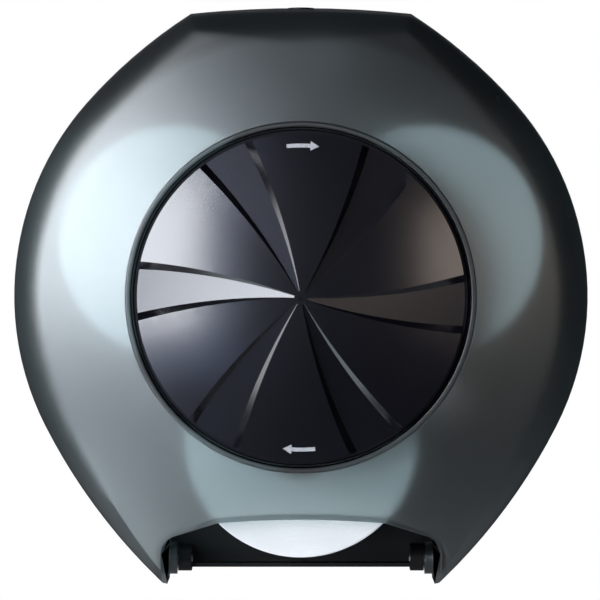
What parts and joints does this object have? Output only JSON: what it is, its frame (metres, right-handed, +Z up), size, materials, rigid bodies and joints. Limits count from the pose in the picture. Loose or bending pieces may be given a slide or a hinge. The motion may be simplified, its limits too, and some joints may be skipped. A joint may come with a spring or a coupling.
{
  "type": "three-roll toilet tissue dispenser",
  "caption": "Wall-mounted carousel dispenser for tissue rolls, with a translucent domed cover hinged at its feet and a large turning dial.",
  "frame": {"origin": "on the wall, at the centre of the wall screw pattern, on the axis of the dial and the carousel", "axes": "+Z up, -Y out of the wall towards the user, +X to the right as seen from the front"},
  "size_m": [0.3632, 0.16, 0.3603],
  "materials": {
    "smoke_cover": "smoke-tinted translucent acrylic or ABS, satin outside and frosted inside",
    "dial_black": "polished black moulded plastic",
    "tray_black": "fine-textured black moulded plastic",
    "carousel_black": "plain black moulded plastic",
    "acetal": "natural acetal",
    "steel": "zinc-plated steel",
    "lock_metal": "nickel-plated zinc",
    "tissue": "soft two-ply tissue, lightly embossed",
    "cardboard": "raw grey-brown board"
  },
  "bodies": {
    "wall_tray": {"back_plate": "tray_black", "carousel_axle": "steel", "axle_washer": "steel", "axle_screw": "steel", "index_spring": "acetal", "index_spring_screws": "steel", "hinge_pins": "steel", "lock_strike": "steel", "strike_screw": "steel"},
    "carousel": {"carousel_rotor": "carousel_black", "drive_dog": "carousel_black", "dog_pin": "steel", "roll_peg_bottom": "carousel_black", "roll_peg_left": "carousel_black", "roll_peg_right": "carousel_black", "peg_screws": "steel"},
    "roll_bottom": {"tissue_roll_bottom": "tissue", "roll_core_bottom": "cardboard"},
    "roll_left": {"tissue_roll_left": "tissue", "roll_core_left": "cardboard"},
    "roll_right": {"tissue_roll_right": "tissue", "roll_core_right": "cardboard"},
    "cover": {"cover_shell": "smoke_cover", "lock_housing": "tray_black"},
    "lock": {"lock_cylinder": "lock_metal", "lock_cam": "lock_metal"},
    "dial": {"dial_face": "dial_black", "dial_socket": "carousel_black", "socket_screws": "steel", "dial_retainer_ring": "carousel_black", "retainer_screws": "steel"}
  },
  "joints": [
    {"name": "carousel_turn", "type": "hinge", "parent": "wall_tray", "child": "carousel", "pos_m": [0, 0, 0], "axis": [0, 1, 0], "continuous": true},
    {"name": "cover_hinge", "type": "hinge", "parent": "wall_tray", "child": "cover", "pos_m": [0, -0.014, -0.16701], "axis": [1, 0, 0], "range_deg": [0, 90]},
    {"name": "dial_turn", "type": "hinge", "parent": "cover", "child": "dial", "pos_m": [0, 0, 0], "axis": [0, 1, 0], "continuous": true},
    {"name": "lock_turn", "type": "hinge", "parent": "cover", "child": "lock", "pos_m": [0, -0.033, 0.17], "axis": [0, 0, -1], "range_deg": [0, 90]},
    {"name": "roll_bottom_spin", "type": "hinge", "parent": "carousel", "child": "roll_bottom", "pos_m": [0, -0.072, -0.08636], "axis": [0, 1, 0], "continuous": true},
    {"name": "roll_left_spin", "type": "hinge", "parent": "carousel", "child": "roll_left", "pos_m": [-0.07474, -0.072, 0.03249], "axis": [0, 1, 0], "continuous": true},
    {"name": "roll_right_spin", "type": "hinge", "parent": "carousel", "child": "roll_right", "pos_m": [0.07474, -0.072, 0.03249], "axis": [0, 1, 0], "continuous": true}
  ],
  "couplings": [
    {"joint": "dial_turn", "follows": "carousel_turn", "ratio": 1}
  ]
}
